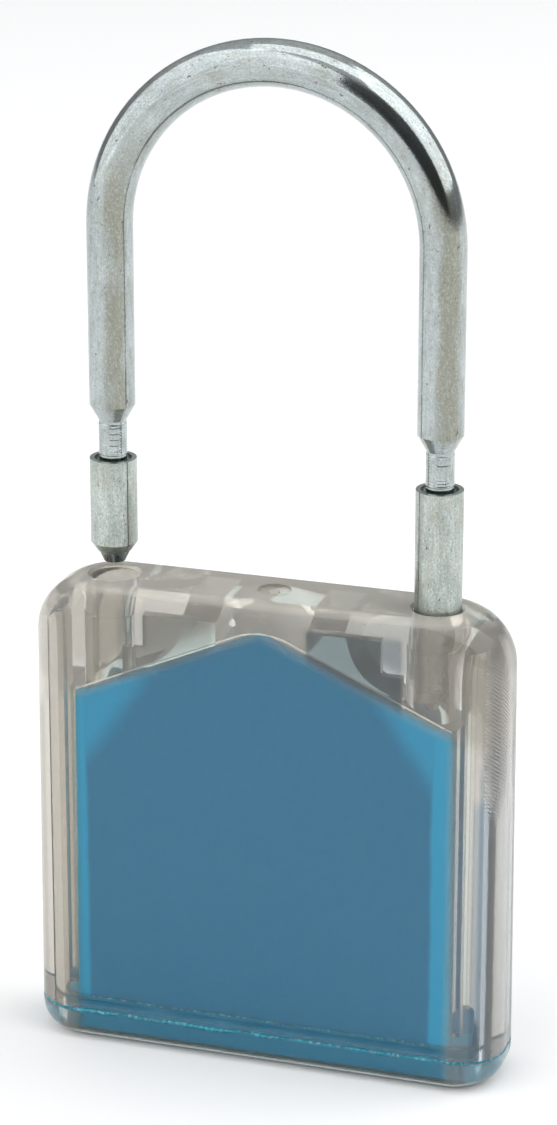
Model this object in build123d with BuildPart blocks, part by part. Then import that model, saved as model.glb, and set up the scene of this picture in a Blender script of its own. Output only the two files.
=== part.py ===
"""Single-use padlock seal: a bent-wire shackle whose legs snap into a clear, flat case.

The case is two clear mouldings welded together round a coloured, house-shaped insert.
Each leg of the shackle ends in a turned stem that carries a rolled steel collar. The captive leg
waits in its bore. Pushing the shackle down takes both collars past a ledge inside the case,
where their slit skirts spring out, so the shackle can't come back.

Frame: millimetres, origin at the centre of the bottom face, +X towards the captive leg,
-Y towards the front, +Z up along the legs.
"""
import math
import os

from build123d import *

os.makedirs("parts", exist_ok=True)

# Case outline, drafted so that it narrows towards the top
CASE_WIDTH = 43.2
CASE_DEPTH = 9.85
CASE_HEIGHT = 43.4
DRAFT_ANGLE = 0.33
PLAN_RADIUS = 3.93
TOP_FACE_RADIUS = 5.0
TOP_EDGE_RADIUS = 1.9
BOTTOM_FACE_RADIUS = 2.6
BOTTOM_EDGE_RADIUS = 1.9
CORNER_ANGLES = (0, 4, 10, 20, 30, 37)
EDGE_ANGLES = (0, 11, 22, 33, 45, 58, 73, 90)
ROUND_LEAD_INS = (0.3, 0.15)

# Welded joint between the clear body and the clear base
SEAM_HEIGHT = 3.0
WELD_GAP = 0.04
SEAM_CHAMFER = 0.12

# Hollow inside the clear body
CAVITY_WIDTH = 39.2
CAVITY_DEPTH = 6.9
CAVITY_CORNER_RADIUS = 2.0
CHANNEL_TOP = 40.65
CHANNEL_TOP_RADIUS = 1.95
POCKET_TOP = 41.15
POCKET_TOP_X = 7.3
PILLAR_HALF_WIDTH = 4.1
RECESS_DEPTH = 1.05
RECESS_STEP_HEIGHT = 38.1
RECESS_STEP_X = 12.65
BOSS_INNER_X = 10.75
BOSS_OUTER_X = 17.6
GUIDE_RIB_X = 17.85
GUIDE_RIB_WIDTH = 0.6
GUIDE_RIB_REACH = 1.2

# Leg bores
LEG_SPACING = 29.34
LEG_X = LEG_SPACING / 2
MOUTH_RADIUS = 2.15
MOUTH_CHAMFER = 0.25
LEDGE_HEIGHT = 40.2
COUNTERBORE_RADIUS = 2.28

# Gate mark of the moulding, in the middle of the top
GATE_DISH_RADIUS = 1.5
GATE_DISH_DEPTH = 0.3
GATE_STUB_RADIUS = 0.45
GATE_STUB_HEIGHT = 0.2

# Coloured insert
PLATE_HALF_WIDTH_TOP = 17.2
PLATE_HALF_WIDTH_LOW = 17.4
PLATE_SHOULDER = 33.65
PLATE_APEX = 40.66
PLATE_SLOPE = 23.8
PEAK_RADIUS = 2.5
PLATE_CORNER_RADIUS = 0.5
PLATE_EDGE_CHAMFER = 0.15
PLATE_FACE = 3.32
PLATE_THICKNESS = 1.0
ROOF_CLEARANCE = 0.25
FOOT_BOTTOM = 1.0
FOOT_SIZE = (38.5, 6.7, 1.9)
FLANGE_BOTTOM = 2.2
FLANGE_TOP = 3.6
FLANGE_SIZE = (38.9, 6.8, 1.95)
PLINTH_TOP = 5.1
PLINTH_SIZE = (37.8, 6.0, 1.2)
CENTRE_WEB_WIDTH = 1.4
LEG_STOP_WIDTH = 1.6
WEB_TOP_DROP = 9.0
REAR_PLATE_HALF_WIDTH = 16.1
REAR_PLATE_TOP = 33.6
REAR_PLATE_RADIUS = 1.5

# Pockets in the clear base
FOOT_CLEARANCE = 0.15

# Shackle
WIRE_RADIUS = 2.0
ARCH_CENTRE_HEIGHT = 74.74
SHOULDER_HEIGHT = 58.83
SHOULDER_DROP = 1.4
NECK_RADIUS = 1.215
BARREL_RADIUS = 1.6
BARREL_TOP = 53.4
BARREL_LEAD = 0.2
GROOVE_RADIUS = 1.15
TIP_RADIUS = 1.43
TIP_END_RADIUS = 0.935
TIP_LENGTH = 1.0

# Collars
COLLAR_RADIUS = 2.05
COLLAR_BORE = 1.63
COLLAR_TOP = 54.0
COLLAR_LIP_BORE = 1.26
COLLAR_LIP_HEIGHT = 0.75
COLLAR_NOSE_RADIUS = 1.55
FREE_COLLAR_BOTTOM = 45.65
CAPTIVE_COLLAR_BOTTOM = 35.7
FLARE_RADIUS = 2.22
FLARE_HEIGHT = 0.8
SLIT_WIDTH = 0.07
FREE_SLIT_ANGLE = -34.0
CAPTIVE_SLIT_ANGLE = -131.0
SHAKE = 0.05

# How far the shackle is pushed down to lock
LOCK_TRAVEL = 14.2


def arc_inset(height, radius, end_height):
    """How far a quarter round that ends at end_height has come in at this height."""
    run = radius - abs(end_height - height)
    if run <= 0:
        return 0.0
    return radius - math.sqrt(radius**2 - run**2)


def case_outline(height, inset=0.0):
    """Outer plan of the case at one height: drafted sides, rounded top and bottom edges, and an inset."""
    draft = height * math.tan(math.radians(DRAFT_ANGLE))
    side = arc_inset(height, TOP_FACE_RADIUS, CASE_HEIGHT) + arc_inset(height, BOTTOM_FACE_RADIUS, 0)
    edge = arc_inset(height, TOP_EDGE_RADIUS, CASE_HEIGHT) + arc_inset(height, BOTTOM_EDGE_RADIUS, 0)
    half_width = CASE_WIDTH / 2 - draft - side - inset
    half_depth = CASE_DEPTH / 2 - draft - edge - inset
    radius = PLAN_RADIUS * half_depth / (CASE_DEPTH / 2)
    with BuildSketch(Plane.XY.offset(height)) as outline:
        RectangleRounded(2 * half_width, 2 * half_depth, radius)
    return outline.sketch


def round_steps(radius, angles):
    """Rise of a quarter round at each of these angles up from its start."""
    return [radius * math.sin(math.radians(angle)) for angle in angles]


def house(grow, bottom, half_width_low, half_width_top):
    """Front view of the house shape, grown all round, from this bottom height up."""
    shoulder = PLATE_SHOULDER + grow
    apex = PLATE_APEX + grow / math.cos(math.radians(PLATE_SLOPE))
    knee = (apex - shoulder) / math.tan(math.radians(PLATE_SLOPE))
    with BuildSketch() as front_view:
        with BuildLine():
            Polyline(
                (-half_width_low, bottom),
                (half_width_low, bottom),
                (half_width_top, shoulder),
                (knee, shoulder),
                (0, apex),
                (-knee, shoulder),
                (-half_width_top, shoulder),
                close=True,
            )
        make_face()
        fillet(vertices().sort_by(Axis.Y)[-1], PEAK_RADIUS)
    return front_view.sketch


def roof_height(x):
    """Height of the sloping roof over the insert at this distance from the middle."""
    slope = math.radians(PLATE_SLOPE)
    return PLATE_APEX + ROOF_CLEARANCE / math.cos(slope) - x * math.tan(slope)


def turned_section(axis_x, *profile):
    """Half section beside the leg axis at axis_x, from closed (radius, height) points."""
    with BuildSketch(Plane.XZ.shift_origin((axis_x, 0, 0))) as section:
        with BuildLine():
            Polyline(*profile, close=True)
        make_face()
    return section.sketch


def leg_axis(axis_x):
    """Upright axis of the leg at axis_x."""
    return Axis((axis_x, 0, 0), (0, 0, 1))


def stem_section(axis_x, collar_bottom):
    """Turned end of one leg: neck, barrel inside the collar, groove for its lip, and pointed tip."""
    lip_top = collar_bottom + COLLAR_LIP_HEIGHT
    tip_top = collar_bottom - SHAKE
    tip_end = tip_top - TIP_LENGTH
    return turned_section(
        axis_x,
        (0, SHOULDER_HEIGHT),
        (WIRE_RADIUS, SHOULDER_HEIGHT),
        (NECK_RADIUS, SHOULDER_HEIGHT - SHOULDER_DROP),
        (NECK_RADIUS, BARREL_TOP + BARREL_LEAD),
        (BARREL_RADIUS, BARREL_TOP),
        (BARREL_RADIUS, lip_top),
        (GROOVE_RADIUS, lip_top),
        (GROOVE_RADIUS, tip_top),
        (TIP_RADIUS, tip_top),
        (TIP_END_RADIUS, tip_end),
        (0, tip_end),
    )


def slit_section(axis_x, angle):
    """Plan of the open seam in a rolled collar, facing this angle."""
    with BuildSketch(Plane((axis_x, 0, 0)).rotated((0, 0, angle))) as slit:
        Rectangle(2 * COLLAR_RADIUS, SLIT_WIDTH, align=(Align.MIN, Align.CENTER))
    return slit.sketch


# ---------------------------------------------------------------- hollow of the clear body
with BuildPart() as cavity:
    with BuildSketch(Plane.XZ.offset(-CAVITY_DEPTH / 2)):
        add(house(ROOF_CLEARANCE, 0, CAVITY_WIDTH / 2, CAVITY_WIDTH / 2))
        channel_width = CAVITY_WIDTH / 2 - BOSS_OUTER_X
        with Locations((-BOSS_OUTER_X - channel_width / 2, 0), (BOSS_OUTER_X + channel_width / 2, 0)):
            Rectangle(channel_width, CHANNEL_TOP, align=(Align.CENTER, Align.MIN))
        # pockets beside the pillar, each with a swept outer side
        with BuildLine():
            Polyline(
                (BOSS_INNER_X, PLATE_SHOULDER),
                (PILLAR_HALF_WIDTH, PLATE_SHOULDER),
                (PILLAR_HALF_WIDTH, POCKET_TOP),
                (POCKET_TOP_X, POCKET_TOP),
            )
            Spline(
                (POCKET_TOP_X, POCKET_TOP),
                (BOSS_INNER_X, roof_height(BOSS_INNER_X)),
                tangents=((0.1, -1), (1, -0.4)),
            )
            Line((BOSS_INNER_X, roof_height(BOSS_INNER_X)), (BOSS_INNER_X, PLATE_SHOULDER))
        make_face()
        mirror(about=Plane.YZ)
        top_outer = vertices().filter_by(lambda corner: abs(corner.Y - CHANNEL_TOP) < 0.001)
        fillet(top_outer.sort_by(Axis.X)[0], CHANNEL_TOP_RADIUS)
        fillet(top_outer.sort_by(Axis.X)[-1], CHANNEL_TOP_RADIUS)
    extrude(amount=CAVITY_DEPTH)
    with BuildSketch(Plane.XY):
        RectangleRounded(CAVITY_WIDTH, CAVITY_DEPTH, CAVITY_CORNER_RADIUS)
    extrude(amount=CASE_HEIGHT, mode=Mode.INTERSECT)
    # stepped recess in front of each pocket
    with BuildSketch(Plane.XZ.offset(CAVITY_DEPTH / 2)):
        with Locations((PILLAR_HALF_WIDTH, PLATE_SHOULDER)):
            Rectangle(BOSS_INNER_X - PILLAR_HALF_WIDTH, POCKET_TOP - PLATE_SHOULDER, align=Align.MIN)
            Rectangle(RECESS_STEP_X - PILLAR_HALF_WIDTH, RECESS_STEP_HEIGHT - PLATE_SHOULDER, align=Align.MIN)
        mirror(about=Plane.YZ)
    extrude(amount=-RECESS_DEPTH)
    # guide ribs, left standing on the inside of the front and rear walls beside the insert
    rib_wall = CAVITY_DEPTH / 2 - GUIDE_RIB_REACH / 2
    with BuildSketch(Plane.XY.offset(PLINTH_TOP + SHAKE)):
        with GridLocations(2 * GUIDE_RIB_X, 2 * rib_wall, 2, 2):
            Rectangle(GUIDE_RIB_WIDTH, GUIDE_RIB_REACH)
    extrude(amount=CASE_HEIGHT, mode=Mode.SUBTRACT)

# ---------------------------------------------------------------- clear body
with BuildPart() as clear_body:
    lower = SEAM_HEIGHT + WELD_GAP
    corner_start = CASE_HEIGHT - TOP_FACE_RADIUS
    edge_start = CASE_HEIGHT - TOP_EDGE_RADIUS
    heights = [corner_start - lead_in for lead_in in ROUND_LEAD_INS]
    heights += [corner_start + rise for rise in round_steps(TOP_FACE_RADIUS, CORNER_ANGLES)]
    heights += [edge_start + rise for rise in round_steps(TOP_EDGE_RADIUS, EDGE_ANGLES)]
    loft([case_outline(lower, SEAM_CHAMFER), case_outline(lower + SEAM_CHAMFER)])
    loft([case_outline(lower + SEAM_CHAMFER), case_outline(heights[0])])
    loft([case_outline(height) for height in heights])
    add(cavity.part, mode=Mode.SUBTRACT)
    # leg bores: a mouth, and below its ledge a wider bore for the sprung skirts
    with BuildSketch(Plane.XY.offset(PLATE_SHOULDER)):
        with GridLocations(LEG_SPACING, 0, 2, 1):
            Circle(COUNTERBORE_RADIUS)
    extrude(amount=LEDGE_HEIGHT - PLATE_SHOULDER, mode=Mode.SUBTRACT)
    with Locations(Plane.XY.offset(CASE_HEIGHT)):
        with GridLocations(LEG_SPACING, 0, 2, 1):
            CounterSinkHole(MOUTH_RADIUS, MOUTH_RADIUS + MOUTH_CHAMFER, depth=4)
    # gate mark: a shallow dish with the sheared stub in it
    with BuildSketch(Plane.XY.offset(CASE_HEIGHT)):
        Circle(GATE_DISH_RADIUS)
    extrude(amount=-GATE_DISH_DEPTH, mode=Mode.SUBTRACT)
    with BuildSketch(Plane.XY.offset(CASE_HEIGHT - GATE_DISH_DEPTH)):
        Circle(GATE_STUB_RADIUS)
    extrude(amount=GATE_STUB_HEIGHT)

# ---------------------------------------------------------------- clear base
with BuildPart() as clear_base:
    chamfer_start = SEAM_HEIGHT - SEAM_CHAMFER
    heights = [BOTTOM_EDGE_RADIUS - rise for rise in round_steps(BOTTOM_EDGE_RADIUS, EDGE_ANGLES[::-1])]
    heights += [BOTTOM_FACE_RADIUS - 0.4, BOTTOM_FACE_RADIUS - 0.15, BOTTOM_FACE_RADIUS]
    heights += [(BOTTOM_FACE_RADIUS + chamfer_start) / 2, chamfer_start]
    loft([case_outline(height) for height in heights])
    loft([case_outline(chamfer_start), case_outline(SEAM_HEIGHT, SEAM_CHAMFER)])
    foot_pocket = (FOOT_SIZE[0] + 2 * FOOT_CLEARANCE, FOOT_SIZE[1] + 2 * FOOT_CLEARANCE, FOOT_SIZE[2])
    with BuildSketch(Plane.XY.offset(FOOT_BOTTOM - SHAKE)):
        RectangleRounded(*foot_pocket)
    extrude(amount=SEAM_HEIGHT, mode=Mode.SUBTRACT)
    with BuildSketch(Plane.XY.offset(FLANGE_BOTTOM - SHAKE)):
        RectangleRounded(CAVITY_WIDTH, CAVITY_DEPTH, CAVITY_CORNER_RADIUS)
    extrude(amount=SEAM_HEIGHT, mode=Mode.SUBTRACT)

# ---------------------------------------------------------------- coloured insert
with BuildPart() as blue_insert:
    steps = (
        (FOOT_SIZE, FOOT_BOTTOM, FLANGE_BOTTOM),
        (FLANGE_SIZE, FLANGE_BOTTOM, FLANGE_TOP),
        (PLINTH_SIZE, FLANGE_TOP, PLINTH_TOP),
    )
    for size, step_bottom, step_top in steps:
        with BuildSketch(Plane.XY.offset(step_bottom)):
            RectangleRounded(*size)
        extrude(amount=step_top - step_bottom)
    # house-shaped plate along the front, with the legs' space behind it
    with BuildSketch(Plane.XZ.offset(PLATE_FACE - PLATE_THICKNESS)):
        add(house(0, FLANGE_TOP, PLATE_HALF_WIDTH_LOW, PLATE_HALF_WIDTH_TOP))
    extrude(amount=PLATE_THICKNESS)
    upper_edges = edges().filter_by_position(Axis.Z, PLATE_SHOULDER - 0.1, PLATE_APEX)
    shoulder_ends = upper_edges.filter_by(Axis.Y).filter_by(lambda edge: abs(edge.center().X) > PLATE_HALF_WIDTH_TOP - 0.1)
    fillet(shoulder_ends, PLATE_CORNER_RADIUS)
    outline = edges().filter_by_position(Axis.Y, -PLATE_FACE - 0.01, -PLATE_FACE + 0.01)
    chamfer(outline.filter_by(lambda edge: edge.center().Z > PLINTH_TOP), PLATE_EDGE_CHAMFER)
    # lower plate along the rear
    with BuildSketch(Plane.XZ.offset(-PLATE_FACE)):
        with Locations((0, FLANGE_TOP)):
            Rectangle(2 * REAR_PLATE_HALF_WIDTH, REAR_PLATE_TOP - FLANGE_TOP, align=(Align.CENTER, Align.MIN))
        fillet(vertices().group_by(Axis.Y)[-1], REAR_PLATE_RADIUS)
    extrude(amount=PLATE_THICKNESS)
    # middle web, and the two webs that stop the legs' tips at the end of the locking travel
    space = 2 * (PLATE_FACE - PLATE_THICKNESS)
    free_stop = FREE_COLLAR_BOTTOM - SHAKE - TIP_LENGTH - LOCK_TRAVEL - SHAKE
    captive_stop = CAPTIVE_COLLAR_BOTTOM - SHAKE - TIP_LENGTH - LOCK_TRAVEL - SHAKE
    webs = (
        (0, CENTRE_WEB_WIDTH, PLATE_APEX - WEB_TOP_DROP),
        (-LEG_X, LEG_STOP_WIDTH, free_stop),
        (LEG_X, LEG_STOP_WIDTH, captive_stop),
    )
    for web_x, web_width, web_top in webs:
        with BuildSketch(Plane.XY.offset(FLANGE_TOP)):
            with Locations((web_x, 0)):
                Rectangle(web_width, space)
        extrude(amount=web_top - FLANGE_TOP)

# ---------------------------------------------------------------- shackle
with BuildPart() as shackle:
    with BuildLine() as wire_path:
        Line((-LEG_X, 0, SHOULDER_HEIGHT), (-LEG_X, 0, ARCH_CENTRE_HEIGHT))
        ThreePointArc(
            (-LEG_X, 0, ARCH_CENTRE_HEIGHT),
            (0, 0, ARCH_CENTRE_HEIGHT + LEG_X),
            (LEG_X, 0, ARCH_CENTRE_HEIGHT),
        )
        Line((LEG_X, 0, ARCH_CENTRE_HEIGHT), (LEG_X, 0, SHOULDER_HEIGHT))
    with BuildSketch(Plane.XY.offset(SHOULDER_HEIGHT)):
        with Locations((-LEG_X, 0)):
            Circle(WIRE_RADIUS)
    sweep(path=wire_path.line)
    revolve(stem_section(-LEG_X, FREE_COLLAR_BOTTOM), axis=leg_axis(-LEG_X))
    revolve(stem_section(LEG_X, CAPTIVE_COLLAR_BOTTOM), axis=leg_axis(LEG_X))

# ---------------------------------------------------------------- free collar
with BuildPart() as free_collar:
    lip_top = FREE_COLLAR_BOTTOM + COLLAR_LIP_HEIGHT
    profile = turned_section(
        -LEG_X,
        (COLLAR_RADIUS, COLLAR_TOP),
        (COLLAR_RADIUS, lip_top),
        (COLLAR_NOSE_RADIUS, FREE_COLLAR_BOTTOM),
        (COLLAR_LIP_BORE, FREE_COLLAR_BOTTOM),
        (COLLAR_LIP_BORE, lip_top - SHAKE),
        (COLLAR_BORE, lip_top - SHAKE),
        (COLLAR_BORE, COLLAR_TOP),
    )
    revolve(profile, axis=leg_axis(-LEG_X))
    extrude(slit_section(-LEG_X, FREE_SLIT_ANGLE), amount=COLLAR_TOP, mode=Mode.SUBTRACT)

# ---------------------------------------------------------------- captive collar
with BuildPart() as captive_collar:
    lip_top = CAPTIVE_COLLAR_BOTTOM + COLLAR_LIP_HEIGHT
    profile = turned_section(
        LEG_X,
        (COLLAR_RADIUS, COLLAR_TOP),
        (COLLAR_RADIUS, CAPTIVE_COLLAR_BOTTOM + FLARE_HEIGHT),
        (FLARE_RADIUS, CAPTIVE_COLLAR_BOTTOM),
        (COLLAR_LIP_BORE, CAPTIVE_COLLAR_BOTTOM),
        (COLLAR_LIP_BORE, lip_top - SHAKE),
        (COLLAR_BORE, lip_top - SHAKE),
        (COLLAR_BORE, COLLAR_TOP),
    )
    revolve(profile, axis=leg_axis(LEG_X))
    extrude(slit_section(LEG_X, CAPTIVE_SLIT_ANGLE), amount=COLLAR_TOP, mode=Mode.SUBTRACT)

clear_body.part.label = "clear_body"
clear_base.part.label = "clear_base"
blue_insert.part.label = "blue_insert"
shackle.part.label = "shackle"
free_collar.part.label = "free_collar"
captive_collar.part.label = "captive_collar"

export_step(clear_body.part, "parts/clear_body.step")
export_step(clear_base.part, "parts/clear_base.step")
export_step(blue_insert.part, "parts/blue_insert.step")
export_step(shackle.part, "parts/shackle.step")
export_step(free_collar.part, "parts/free_collar.step")
export_step(captive_collar.part, "parts/captive_collar.step")
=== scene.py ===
import math

import bpy
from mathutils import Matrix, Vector, noise


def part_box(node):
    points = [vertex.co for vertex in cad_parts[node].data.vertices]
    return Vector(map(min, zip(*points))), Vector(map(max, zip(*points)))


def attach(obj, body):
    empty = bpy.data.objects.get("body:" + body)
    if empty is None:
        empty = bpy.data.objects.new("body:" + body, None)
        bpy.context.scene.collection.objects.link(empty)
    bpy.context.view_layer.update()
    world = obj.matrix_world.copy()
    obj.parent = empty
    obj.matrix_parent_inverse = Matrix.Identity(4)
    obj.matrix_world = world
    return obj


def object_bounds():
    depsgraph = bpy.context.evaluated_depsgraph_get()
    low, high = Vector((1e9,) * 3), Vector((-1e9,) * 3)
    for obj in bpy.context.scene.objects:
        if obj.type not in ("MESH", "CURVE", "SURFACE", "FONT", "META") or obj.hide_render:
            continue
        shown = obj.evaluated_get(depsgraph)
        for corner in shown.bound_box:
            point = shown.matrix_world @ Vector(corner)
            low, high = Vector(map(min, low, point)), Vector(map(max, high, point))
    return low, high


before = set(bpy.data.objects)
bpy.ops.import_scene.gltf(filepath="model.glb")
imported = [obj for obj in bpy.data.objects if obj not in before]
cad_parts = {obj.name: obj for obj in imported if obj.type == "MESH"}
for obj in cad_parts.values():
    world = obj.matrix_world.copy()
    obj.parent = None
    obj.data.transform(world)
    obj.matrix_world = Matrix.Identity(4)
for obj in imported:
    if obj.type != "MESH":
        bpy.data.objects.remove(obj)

cad_low, cad_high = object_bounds()
MM = 0.001

# Camera: the view from the front, a little to the right and above
CAMERA_AZIMUTH = 17.97
CAMERA_ELEVATION = 19.2
CAMERA_DISTANCE = 313.06 * MM
CAMERA_LENS = 116.3
AIM_OFFSET = Vector((0.373 * MM, 0.0, 0.21 * MM))

# Steel wire and the case
WIRE_RADIUS = 2.0 * MM
NECK_RADIUS = 1.215 * MM
SEAM_RADIUS = 3.9 * MM
INSERT_SLOPE = 23.8
ROOF_FALL = 0.44

# Regions of the clear plastic: the two places between which each one starts or ends
BESIDE_INSERT = (16.6 * MM, 17.6 * MM)
CASE_EDGE = (19.5 * MM, 20.5 * MM)
CASE_TOP = (42.3 * MM, 43.2 * MM)
CASE_BOTTOM = (0.4 * MM, 1.0 * MM)
BASE_TOP = (2.6 * MM, 3.1 * MM)
BASE_END = (18.3 * MM, 19.2 * MM)
FLANK_START = (19.1 * MM, 19.4 * MM)
FLANK_END = (20.3 * MM, 20.8 * MM)
FLANK_TOP = (26.5 * MM, 28.5 * MM)
POCKET_START = (3.9 * MM, 4.6 * MM)
POCKET_END = (12.6 * MM, 13.1 * MM)
POCKET_TOP = (41.4 * MM, 42.2 * MM)

# Tints of the clear plastic in each region, which copy what the photo shows from its own angle, and how
# cloudy it is there: over a beige that is partly the plastic's own, the regions hold painted light,
# painted shade and painted blue casts of the insert
CLEAR_IOR = 1.42
# Painted blue cast of the insert, laid on the wall where it covers the insert
OVER_INSERT_BLUE_CAST = (0.78, 0.955, 0.965, 1.0)
# Beside the insert: beige, partly the plastic's own tint and partly painted reflection of a warm room,
# with painted shade leaving the left side darker than the right
LEFT_SIDE = ((0.80, 0.755, 0.68, 1.0), (0.76, 0.725, 0.66, 1.0))
RIGHT_SIDE = (0.80, 0.78, 0.74, 1.0)
RIGHT_SIDE_START = (16.5 * MM, 18.0 * MM)
# Painted shade: a darker tint over the region above the insert
TOP_REGION = ((0.64, 0.60, 0.535, 1.0), (0.58, 0.56, 0.51, 1.0))
# Painted shade in the pockets above the insert, darker in the right pocket than the left
POCKET_SHADE = (0.27, 0.295, 0.30, 1.0)
# Painted light: a lighter tint on the top face, where light falls from above
TOP_FACE = (0.69, 0.655, 0.58, 1.0)
# Painted shade darkens the left edge of the case, painted light lightens the right edge
LEFT_EDGE_SHADE = (0.42, 0.385, 0.325, 1.0)
RIGHT_EDGE_LIT = (0.60, 0.595, 0.57, 1.0)
# Painted blue cast of the insert down the right flank
RIGHT_FLANK_BLUE_CAST = (0.36, 0.47, 0.56, 1.0)
# Painted blue cast of the insert in the bottom corners of the base
BASE_CORNER_BLUE_CAST = (0.40, 0.62, 0.71, 1.0)
BOTTOM_RIM = (0.74, 0.76, 0.75, 1.0)
CLOUD_SIDE = 0.10
CLOUD_TOP_REGION = 0.22
CLOUD_EDGE = 0.2
CLOUD_CORNER = 0.3
CLOUD_BOTTOM = 0.55
CLOUD_TOP_FACE = 0.45
TOOL_MARK_PITCH = 0.36 * MM

# Plastic squeezed from the weld, with a painted teal cast of the blue insert and painted highlights, and
# the bright edge over the insert's roof, a painted highlight with a faint painted glow
BEAD_DARK = (0.0, 0.27, 0.40, 1.0)
BEAD_TEAL = (0.02, 0.42, 0.56, 1.0)
BEAD_HIGHLIGHT = (0.60, 0.80, 0.84, 1.0)
BEAD_IOR = 1.49
EDGE_GREY = (0.80, 0.79, 0.75, 1.0)
EDGE_WHITE = (0.95, 0.94, 0.90, 1.0)
EDGE_GLOW = (1.0, 0.98, 0.93, 1.0)

# Blue plastic, with a lighter blue for painted light at the insert's sides and shoulders
DEEP_BLUE = ((0.0, 0.216, 0.410, 1.0), (0.0, 0.236, 0.445, 1.0))
PAINTED_GLOW_BLUE = (0.0, 0.46, 0.78, 1.0)
FLANGE_BLUE = (0.0, 0.285, 0.49, 1.0)

# Plated steel: bright, grey and dark tones, the dark one for stains and, on the wire, also for a painted
# dark reflection down the front of each leg, and the range of roughness
WIRE_TONES = ((0.55, 0.60, 0.60, 1.0), (0.38, 0.425, 0.43, 1.0), (0.27, 0.27, 0.215, 1.0))
WIRE_ROUGHNESS = (0.05, 0.14)
COLLAR_TONES = ((0.60, 0.65, 0.62, 1.0), (0.37, 0.42, 0.395, 1.0), (0.38, 0.35, 0.26, 1.0))
COLLAR_ROUGHNESS = (0.24, 0.42)
DARK_SPECKS = (0.10, 0.115, 0.11, 1.0)
RUST_SPOTS = (0.10, 0.075, 0.05, 1.0)
# Way that the side with the painted dark reflection faces, as x and y parts
DARK_REFLECTION_FACING = (0.53, -0.85)

# Studio
FLOOR_COLOUR = (0.93, 0.925, 0.92, 1.0)
FLOOR_HALF_SIZE = 3.0
SKY_COLOUR = (0.96, 0.98, 1.0, 1.0)


def aim(thing, target):
    """Turns an object so that its -Z axis points at the target."""
    thing.rotation_mode = "QUATERNION"
    thing.rotation_quaternion = (target - thing.location).to_track_quat("-Z", "Y")


def direction_of(azimuth, elevation):
    """Unit vector from the object, with azimuth from the front towards the right, in degrees."""
    a = math.radians(azimuth)
    e = math.radians(elevation)
    return Vector((math.sin(a) * math.cos(e), -math.cos(a) * math.cos(e), math.sin(e)))


def make_camera():
    target = (cad_low + cad_high) / 2 + AIM_OFFSET
    data = bpy.data.cameras.new("camera")
    data.lens = CAMERA_LENS
    data.sensor_width = 36.0
    data.clip_start = 0.01
    data.clip_end = 20.0
    camera = bpy.data.objects.new("camera", data)
    camera.location = target + direction_of(CAMERA_AZIMUTH, CAMERA_ELEVATION) * CAMERA_DISTANCE
    aim(camera, target)
    bpy.context.scene.collection.objects.link(camera)
    bpy.context.scene.camera = camera


# ---------------------------------------------------------------- materials
class Nodes:
    """Adds shader nodes to a node tree and links them."""

    def __init__(self, tree):
        self.tree = tree

    def link(self, value, socket):
        """Sets a socket from a number, a colour or another node's output."""
        if isinstance(value, bpy.types.NodeSocket):
            self.tree.links.new(value, socket)
        else:
            socket.default_value = value

    def new(self, kind, **settings):
        node = self.tree.nodes.new(kind)
        for key, value in settings.items():
            setattr(node, key, value)
        return node

    def math(self, operation, first, second=0.0):
        node = self.new("ShaderNodeMath", operation=operation)
        for socket, value in zip(node.inputs, (first, second)):
            self.link(value, socket)
        return node.outputs[0]

    def plus(self, first, second):
        return self.math("ADD", first, second)

    def minus(self, first, second):
        return self.math("SUBTRACT", first, second)

    def times(self, first, *others):
        for other in others:
            first = self.math("MULTIPLY", first, other)
        return first

    def most(self, first, *others):
        for other in others:
            first = self.math("MAXIMUM", first, other)
        return first

    def split(self, vector):
        node = self.new("ShaderNodeSeparateXYZ")
        self.link(vector, node.inputs[0])
        return node.outputs[0], node.outputs[1], node.outputs[2]

    def join(self, x, y, z):
        node = self.new("ShaderNodeCombineXYZ")
        for socket, value in zip(node.inputs, (x, y, z)):
            self.link(value, socket)
        return node.outputs[0]

    def stretched(self, vector, along):
        """Coordinates in which a pattern is drawn out along Z."""
        node = self.new("ShaderNodeVectorMath", operation="MULTIPLY")
        self.link(vector, node.inputs[0])
        node.inputs[1].default_value = (1.0, 1.0, along)
        return node.outputs[0]

    def noise(self, vector, scale, detail=3.0, roughness=0.55):
        node = self.new("ShaderNodeTexNoise")
        self.link(vector, node.inputs["Vector"])
        node.inputs["Scale"].default_value = scale
        node.inputs["Detail"].default_value = detail
        node.inputs["Roughness"].default_value = roughness
        return node.outputs["Fac"]

    def ramp(self, value, low, high, from_value=0.0, to_value=1.0):
        """Smooth step from from_value at low to to_value at high."""
        node = self.new("ShaderNodeMapRange", interpolation_type="SMOOTHSTEP")
        for socket, number in zip(node.inputs, (value, low, high, from_value, to_value)):
            self.link(number, socket)
        return node.outputs[0]

    def fall(self, value, low, high):
        """Smooth step from one at low to nothing at high."""
        return self.ramp(value, low, high, 1.0, 0.0)

    def mix(self, factor, first, second):
        node = self.new("ShaderNodeMix", data_type="RGBA")
        self.link(factor, node.inputs[0])
        self.link(first, node.inputs[6])
        self.link(second, node.inputs[7])
        return node.outputs[2]

    def bump(self, height, strength, distance, normal=None):
        node = self.new("ShaderNodeBump")
        node.inputs["Strength"].default_value = strength
        node.inputs["Distance"].default_value = distance
        self.link(height, node.inputs["Height"])
        if normal is not None:
            self.link(normal, node.inputs["Normal"])
        return node.outputs[0]


class Surface(Nodes):
    """The nodes of one new material."""

    def __init__(self, name):
        self.material = bpy.data.materials.new(name)
        self.material.use_nodes = True
        super().__init__(self.material.node_tree)
        self.shader = self.tree.nodes["Principled BSDF"]
        self.place = self.new("ShaderNodeTexCoord").outputs["Object"]

    def set(self, socket, value):
        self.link(value, self.shader.inputs[socket])


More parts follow.
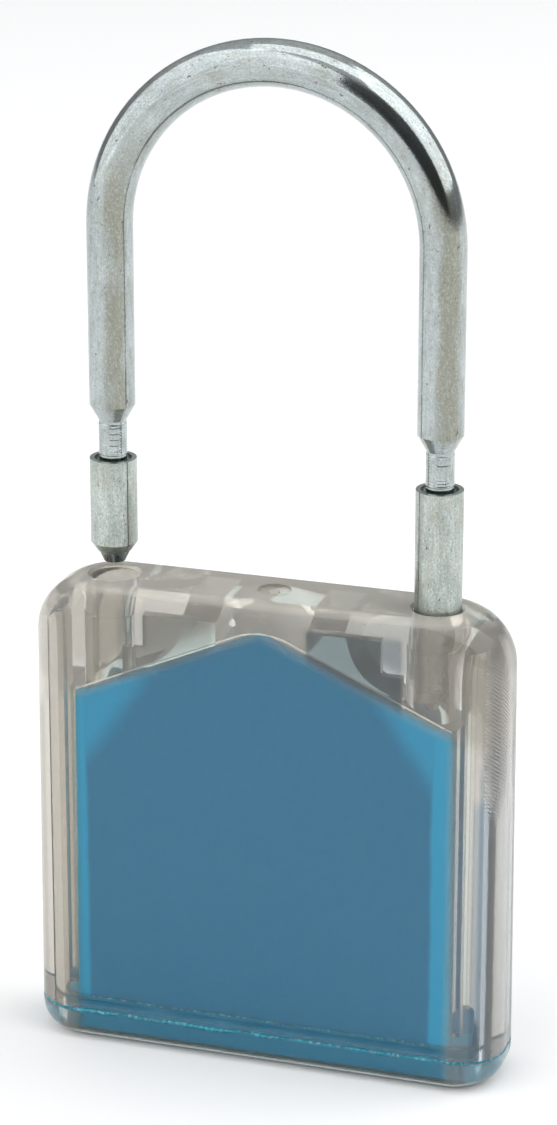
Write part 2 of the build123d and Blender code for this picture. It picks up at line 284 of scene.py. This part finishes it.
def clear_plastic():
    """Clear moulded plastic: polished where it covers the insert, hazy elsewhere, with painted light,
    painted shade and painted blue casts of the insert tinted into its regions.
    """
    m = Surface("clear_plastic")
    ripple = m.noise(m.stretched(m.place, 0.35), 300.0, 2.0)
    haze = m.noise(m.place, 900.0, 4.0)
    insert_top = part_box("blue_insert")[1].z
    x, y, z = m.split(m.place)
    side = m.math("ABSOLUTE", x)
    roof = m.plus(z, m.times(side, ROOF_FALL))
    rightward = m.ramp(x, -5.0 * MM, 5.0 * MM)

    at_side = m.ramp(side, *BESIDE_INSERT)
    at_edge = m.ramp(side, *CASE_EDGE)
    above_insert = m.ramp(roof, insert_top - 0.5 * MM, insert_top + 1.5 * MM)
    at_top = m.ramp(z, *CASE_TOP)
    at_bottom = m.fall(z, *CASE_BOTTOM)
    at_corner = m.times(m.fall(z, *BASE_TOP), m.ramp(side, *BASE_END))
    at_flank = m.times(m.ramp(x, *FLANK_START), m.fall(x, *FLANK_END), m.fall(z, *FLANK_TOP))
    # Painted shade in the pockets: full on the right, weaker on the left
    in_pocket = m.times(
        m.ramp(side, *POCKET_START),
        m.fall(side, *POCKET_END),
        m.fall(z, *POCKET_TOP),
        m.ramp(x, -4.0 * MM, 4.0 * MM, 0.42, 1.0),
    )

    mottled = m.ramp(haze, 0.3, 0.7)
    # Painted shade: the side beside the insert darker on the left than on the right
    side_tint = m.mix(m.ramp(x, *RIGHT_SIDE_START), m.mix(mottled, *LEFT_SIDE), RIGHT_SIDE)
    # Painted blue cast over the insert, the beige side tint beside it
    tint = m.mix(at_side, OVER_INSERT_BLUE_CAST, side_tint)
    # Painted shade on the left edge, painted light on the right edge
    tint = m.mix(at_edge, tint, m.mix(rightward, LEFT_EDGE_SHADE, RIGHT_EDGE_LIT))
    # Painted blue cast of the insert on the right flank
    tint = m.mix(m.times(at_flank, 0.8), tint, RIGHT_FLANK_BLUE_CAST)
    # Painted shade above the insert
    tint = m.mix(above_insert, tint, m.mix(mottled, *TOP_REGION))
    # Painted shade in the pockets
    tint = m.mix(m.times(above_insert, in_pocket), tint, POCKET_SHADE)
    # Painted light on the top face
    tint = m.mix(at_top, tint, TOP_FACE)
    # Painted blue cast of the insert in the base corners
    tint = m.mix(at_corner, tint, BASE_CORNER_BLUE_CAST)
    tint = m.mix(at_bottom, tint, BOTTOM_RIM)
    m.set("Base Color", tint)
    m.set("Roughness", m.ramp(haze, 0.3, 0.8, 0.03, 0.09))

    cloud = m.most(
        m.times(at_side, CLOUD_SIDE),
        m.times(above_insert, CLOUD_TOP_REGION),
        m.times(at_edge, CLOUD_EDGE),
        m.times(at_corner, CLOUD_CORNER),
        m.times(at_bottom, CLOUD_BOTTOM),
        m.times(at_top, CLOUD_TOP_FACE),
    )
    m.set("Transmission Weight", m.minus(1.0, cloud))
    m.set("IOR", CLEAR_IOR)
    m.set("Specular IOR Level", 0.3)

    slant = m.plus(z, m.times(y, 0.9))
    marks = m.math("SINE", m.times(slant, 2 * math.pi / TOOL_MARK_PITCH))
    marks = m.times(marks, m.ramp(x, 19.9 * MM, 20.4 * MM), m.ramp(z, 24.0 * MM, 30.0 * MM))
    smooth = m.bump(ripple, 0.12, 0.00012)
    m.set("Normal", m.bump(marks, 0.8, 0.00005, smooth))
    return m.material


def weld_bead():
    """Plastic squeezed out of the weld: cloudy, with a painted teal cast of the blue insert in bright and
    dark stretches, and painted highlights.
    """
    m = Surface("weld_bead")
    run = m.noise(m.place, 420.0, 3.0)
    fine = m.noise(m.place, 2600.0, 3.0)
    colour = m.mix(m.ramp(run, 0.38, 0.62), BEAD_DARK, BEAD_TEAL)
    # Painted highlights over the painted teal cast
    m.set("Base Color", m.mix(m.ramp(fine, 0.55, 0.75), colour, BEAD_HIGHLIGHT))
    m.set("Roughness", m.ramp(fine, 0.3, 0.7, 0.15, 0.4))
    m.set("Transmission Weight", 0.25)
    m.set("IOR", BEAD_IOR)
    m.set("Normal", m.bump(fine, 0.5, 0.00003))
    return m.material


def painted_roof_highlight():
    """Painted highlight on an edge of clear plastic, grey and white, with a faint painted glow."""
    m = Surface("roof_line_highlight")
    run = m.noise(m.place, 500.0, 3.0)
    m.set("Base Color", m.mix(m.ramp(run, 0.35, 0.65), EDGE_GREY, EDGE_WHITE))
    m.set("Roughness", m.ramp(run, 0.3, 0.7, 0.2, 0.4))
    # Painted glow: the edge shines faintly by itself
    m.set("Emission Color", EDGE_GLOW)
    m.set("Emission Strength", 0.3)
    m.set("Normal", m.bump(run, 0.3, 0.00003))
    return m.material


def blue_plastic():
    """Blue moulded plastic, deeper in the middle, with painted light: lighter side bands, wider on the
    right, and shoulders where light comes in at its edges.
    """
    m = Surface("blue_plastic")
    low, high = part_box("blue_insert")
    x, _, z = m.split(m.place)
    wander = m.times(m.minus(m.noise(m.place, 160.0, 2.0), 0.5), 0.5 * MM)
    across = m.plus(m.math("ABSOLUTE", x), wander)
    # Painted light: lighter bands down both sides, wider on the right, and on both shoulders
    wider = m.ramp(x, -5.0 * MM, 5.0 * MM, 0.0, 0.8 * MM)
    at_side = m.ramp(m.plus(across, wider), high.x - 3.5 * MM, high.x - 3.0 * MM)
    shoulder = m.plus(m.times(z, 0.66), across)
    lit_shoulder = m.times(m.ramp(shoulder, 32.6 * MM, 35.6 * MM), 0.8)
    at_flange = m.fall(z, low.z + 2.9 * MM, low.z + 3.2 * MM)
    mottle = m.noise(m.place, 1500.0, 5.0, 0.65)
    deep = m.mix(m.ramp(mottle, 0.35, 0.65), *DEEP_BLUE)
    tint = m.mix(m.most(at_side, lit_shoulder), deep, PAINTED_GLOW_BLUE)
    m.set("Base Color", m.mix(at_flange, tint, FLANGE_BLUE))
    m.set("Roughness", m.ramp(mottle, 0.3, 0.7, 0.42, 0.56))
    m.set("Specular IOR Level", 0.1)
    m.set("Normal", m.bump(mottle, 0.03, 0.00001))
    return m.material


def along_wire(m, centre_height, leg_x):
    """Coordinates that follow the bent wire, and how much a point faces the side that takes a painted
    dark reflection.
    """
    x, y, z = m.split(m.place)
    rise = m.most(m.minus(z, centre_height), 0.0)
    side = m.math("ABSOLUTE", x)
    reach = m.math("SQRT", m.plus(m.times(x, x), m.times(rise, rise)))
    across = m.times(m.minus(reach, leg_x), m.math("SIGN", x))
    turn = m.times(m.math("ARCTAN2", rise, side), leg_x)
    length = m.plus(m.math("MINIMUM", z, centre_height), turn)
    facing_x, facing_y = DARK_REFLECTION_FACING
    facing = m.plus(m.times(across, facing_x / WIRE_RADIUS), m.times(y, facing_y / WIRE_RADIUS))
    wander = m.noise(m.stretched(m.place, 0.25), 600.0, 3.0)
    facing = m.plus(facing, m.times(m.minus(wander, 0.5), 0.5))
    # Painted dark reflection down the side of each leg that faces the front, fading up the arch
    dark_reflection = m.times(m.ramp(facing, 0.76, 1.02), m.ramp(rise, 2 * MM, 10 * MM, 1.0, 0.15))
    return m.join(across, y, length), dark_reflection


def plated_steel(name, tones, roughness, bend=None):
    """Zinc-plated steel: drawing streaks, cloudy plating, stains, specks and small pits, and on the bent
    wire a painted dark reflection.
    """
    m = Surface(name)
    place, dark_reflection = along_wire(m, *bend) if bend else (m.place, 0.0)
    bright, grey, stain_and_reflection = tones
    streaks = m.noise(m.stretched(place, 0.05), 3800.0, 4.0, 0.6)
    clouds = m.noise(m.stretched(place, 0.4), 520.0, 5.0, 0.65)
    grit = m.noise(m.stretched(place, 0.6), 6500.0, 3.0, 0.7)
    patches = m.noise(m.stretched(place, 0.3), 1700.0, 4.0, 0.75)
    fine = m.noise(m.stretched(place, 0.7), 9500.0, 2.0, 0.7)
    pits = m.noise(m.stretched(place, 0.55), 3300.0, 2.0, 0.5)

    cloudy = m.plus(m.times(clouds, 0.45), m.times(grit, 0.55))
    base = m.mix(m.ramp(cloudy, 0.38, 0.62), bright, grey)
    base = m.mix(m.ramp(streaks, 0.48, 0.62, 0.0, 0.55), base, grey)
    patches = m.ramp(patches, 0.42, 0.72, 0.0, 0.55)
    # Random stain patches and the painted dark reflection, broken by grit, share the dark tone
    speckled = m.times(dark_reflection, m.ramp(grit, 0.3, 0.6, 0.55, 0.95))
    base = m.mix(m.most(patches, speckled), base, stain_and_reflection)
    base = m.mix(m.ramp(fine, 0.48, 0.62, 0.0, 0.26), base, DARK_SPECKS)
    spots = m.ramp(pits, 0.68, 0.74)
    base = m.mix(m.times(spots, 0.8), base, RUST_SPOTS)
    m.set("Base Color", base)
    m.set("Metallic", 1.0)

    smooth, rough = roughness
    uneven = m.plus(m.times(clouds, 0.5), m.times(grit, 0.5))
    m.set("Roughness", m.ramp(uneven, 0.35, 0.65, smooth, rough))
    height = m.plus(m.times(streaks, 0.8), m.times(grit, 0.5))
    height = m.minus(height, m.times(spots, 0.8))
    m.set("Normal", m.bump(height, 0.5, 0.000013))
    return m.material


def paint(node, material):
    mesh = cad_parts[node].data
    mesh.materials.clear()
    mesh.materials.append(material)


def dress():
    shackle_low, shackle_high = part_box("shackle")
    leg_x = (shackle_high.x - shackle_low.x) / 2 - WIRE_RADIUS
    centre_height = shackle_high.z - WIRE_RADIUS - leg_x
    clear = clear_plastic()
    paint("clear_body", clear)
    paint("clear_base", clear)
    paint("blue_insert", blue_plastic())
    bend = (centre_height, leg_x)
    wire = plated_steel("plated_wire", WIRE_TONES, WIRE_ROUGHNESS, bend)
    paint("shackle", wire)
    collar = plated_steel("plated_collar", COLLAR_TONES, COLLAR_ROUGHNESS)
    paint("free_collar", collar)
    paint("captive_collar", collar)
    neck_rings(leg_x, wire)
    weld_beads(weld_bead())
    roof_edge(painted_roof_highlight())


# ---------------------------------------------------------------- small pieces
def add_piece(name, points, faces, body, material):
    data = bpy.data.meshes.new(name)
    data.from_pydata(points, [], faces)
    data.polygons.foreach_set("use_smooth", [True] * len(faces))
    data.materials.append(material)
    piece = bpy.data.objects.new(name, data)
    bpy.context.scene.collection.objects.link(piece)
    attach(piece, body)


def ring_faces(row, next_row, sides):
    """Faces between two rings of points, from the number of the first point in each."""
    faces = []
    for side in range(sides):
        ahead = (side + 1) % sides
        faces.append((row + side, row + ahead, next_row + ahead, next_row + side))
    return faces


def neck_rings(leg_x, material):
    """Turning marks round the neck of each leg."""
    pitch = 0.26 * MM
    step = pitch / 6
    shallow = 0.006 * MM
    deep = 0.030 * MM
    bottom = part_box("free_collar")[1].z - 0.25 * MM
    rows = 81
    around = 56
    for name, axis_x in (("free_neck_rings", -leg_x), ("captive_neck_rings", leg_x)):
        points = []
        for row in range(rows):
            z = bottom + row * step
            depth = 0.5 + 0.5 * noise.noise(Vector((axis_x * 1000, 0.0, z / pitch * 0.7)))
            wave = 0.5 - 0.5 * math.cos(2 * math.pi * z / pitch)
            radius = NECK_RADIUS + shallow + deep * depth * wave
            for spoke in range(around):
                turn = 2 * math.pi * spoke / around
                points.append((axis_x + radius * math.cos(turn), radius * math.sin(turn), z))
        faces = []
        for row in range(rows - 1):
            faces += ring_faces(row * around, (row + 1) * around, around)
        faces.append(tuple(range(around))[::-1])
        faces.append(tuple((rows - 1) * around + spoke for spoke in range(around)))
        add_piece(name, points, faces, "shackle", material)


def rounded_loop(half_width, half_depth, radius, spacing):
    """Points round a rounded rectangle, each with its outward direction."""
    path = []
    runs = (
        ((half_width - radius, -half_depth), (0.0, -1.0), (-1.0, 0.0), 2 * (half_width - radius)),
        ((-half_width, -half_depth + radius), (-1.0, 0.0), (0.0, 1.0), 2 * (half_depth - radius)),
        ((-half_width + radius, half_depth), (0.0, 1.0), (1.0, 0.0), 2 * (half_width - radius)),
        ((half_width, half_depth - radius), (1.0, 0.0), (0.0, -1.0), 2 * (half_depth - radius)),
    )
    for start, out, ahead, length in runs:
        count = max(1, round(length / spacing))
        for step in range(count):
            along = length * step / count
            path.append(((start[0] + ahead[0] * along, start[1] + ahead[1] * along), out))
        end = (start[0] + ahead[0] * length, start[1] + ahead[1] * length)
        centre = (end[0] - out[0] * radius, end[1] - out[1] * radius)
        count = max(2, round(radius * math.pi / 2 / spacing))
        for step in range(count):
            turn = math.pi / 2 * step / count
            way = (
                out[0] * math.cos(turn) + ahead[0] * math.sin(turn),
                out[1] * math.cos(turn) + ahead[1] * math.sin(turn),
            )
            path.append(((centre[0] + way[0] * radius, centre[1] + way[1] * radius), way))
    return path


def bead(name, half_width, half_depth, radius, height, reach, rise, material):
    """An uneven bead of plastic round the case."""
    sides = 8
    path = rounded_loop(half_width, half_depth, radius, 0.22 * MM)
    points = []
    for (x, y), out in path:
        place = Vector((x, y, height)) * 1000
        swell = 0.55 + 0.9 * abs(noise.noise(place * 0.55)) + 0.5 * max(0.0, noise.noise(place * 2.1))
        drift = rise * 0.8 * noise.noise(place * 0.35 + Vector((7.0, 3.0, 1.0)))
        for side in range(sides):
            turn = 2 * math.pi * side / sides
            push = reach * math.cos(turn) * min(1.0, swell)
            lift = drift + rise * math.sin(turn) * swell
            points.append((x + out[0] * push, y + out[1] * push, height + lift))
    faces = []
    for index in range(len(path)):
        after = (index + 1) % len(path)
        faces += ring_faces(index * sides, after * sides, sides)
    add_piece(name, points, faces, "case", material)


def weld_beads(material):
    """Beads on the outside of the weld and above the insert's flange."""
    base_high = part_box("clear_base")[1]
    insert_low, insert_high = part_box("blue_insert")
    inset = 0.075 * MM
    bead("outer_weld_bead", base_high.x - inset, base_high.y - inset, SEAM_RADIUS,
         base_high.z + 0.02 * MM, 0.06 * MM, 0.20 * MM, material)
    inside = 0.02 * MM
    bead("inner_weld_bead", insert_high.x + inside, insert_high.y + inside, 2.0 * MM,
         insert_low.z + 2.98 * MM, 0.03 * MM, 0.10 * MM, material)


def roof_edge(material):
    """Edge of the clear wall over the insert's sloping roof."""
    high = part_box("blue_insert")[1]
    half_width = high.x - 2.4 * MM
    eave_drop = 6.95 * MM
    slope = math.radians(INSERT_SLOPE)
    ridge_radius = 6.2 * MM
    gap = 0.13 * MM
    thick = 0.10 * MM
    front = -3.27 * MM
    count = 90
    sides = 6
    points = []
    for index in range(count + 1):
        x = half_width * (2 * index / count - 1)
        away = abs(x)
        z = high.z - eave_drop + (half_width - away) * math.tan(slope)
        if away < ridge_radius * math.sin(slope):
            z = high.z - ridge_radius + math.sqrt(ridge_radius * ridge_radius - away * away)
        reach = thick * (0.75 + 0.5 * abs(noise.noise(Vector((x * 900, 2.0, 5.0)))))
        for side in range(sides):
            turn = 2 * math.pi * side / sides
            points.append((x, front + reach * math.cos(turn), z + gap + reach * math.sin(turn)))
    faces = []
    for index in range(count):
        faces += ring_faces(index * sides, (index + 1) * sides, sides)
    faces.append(tuple(range(sides)))
    faces.append(tuple(count * sides + side for side in range(sides))[::-1])
    add_piece("roof_edge", points, faces, "case", material)


# ---------------------------------------------------------------- studio
def floor():
    data = bpy.data.meshes.new("floor")
    size = FLOOR_HALF_SIZE
    height = cad_low.z - 0.02 * MM
    corners = [(-size, -size, height), (size, -size, height), (size, size, height), (-size, size, height)]
    data.from_pydata(corners, [], [(0, 1, 2, 3)])
    plane = bpy.data.objects.new("floor", data)
    bpy.context.scene.collection.objects.link(plane)
    m = Surface("floor")
    m.set("Base Color", FLOOR_COLOUR)
    m.set("Roughness", 0.9)
    data.materials.append(m.material)


def softbox(name, azimuth, elevation, distance, width, height, brightness):
    """A rectangular light whose power follows its area, so that brightness sets how bright it looks."""
    data = bpy.data.lights.new(name, "AREA")
    data.shape = "RECTANGLE"
    data.size = width
    data.size_y = height
    data.energy = math.pi * brightness * width * height
    lamp = bpy.data.objects.new(name, data)
    centre = (cad_low + cad_high) / 2
    lamp.location = centre + distance * direction_of(azimuth, elevation)
    aim(lamp, centre)
    bpy.context.scene.collection.objects.link(lamp)


def sky(world):
    """Dim room round the softboxes, darkest where the photographer stands, between them."""
    m = Nodes(world.node_tree)
    direction = m.new("ShaderNodeTexCoord").outputs["Generated"]
    z = m.split(direction)[2]
    facing = m.new("ShaderNodeVectorMath", operation="DOT_PRODUCT")
    m.link(direction, facing.inputs[0])
    facing.inputs[1].default_value = direction_of(30.0, 15.0)
    outer = math.cos(math.radians(44))
    inner = math.cos(math.radians(26))
    shade = m.ramp(facing.outputs["Value"], outer, inner, 1.0, 0.2)
    glow = m.ramp(z, 0.1, 0.9, 0.32, 0.75)
    background = m.tree.nodes["Background"]
    background.inputs[0].default_value = SKY_COLOUR
    m.link(m.times(glow, shade), background.inputs[1])


def studio():
    world = bpy.data.worlds.new("studio")
    world.use_nodes = True
    sky(world)
    bpy.context.scene.world = world
    softbox("left", -50.0, 30.0, 0.9, 1.7, 1.2, 1.05)
    softbox("right", 100.0, 42.0, 0.9, 1.3, 1.0, 1.5)
    softbox("top", 0.0, 88.0, 0.8, 0.7, 0.5, 1.2)
    bpy.context.scene.view_settings.view_transform = "Standard"


make_camera()
dress()
floor()
studio()
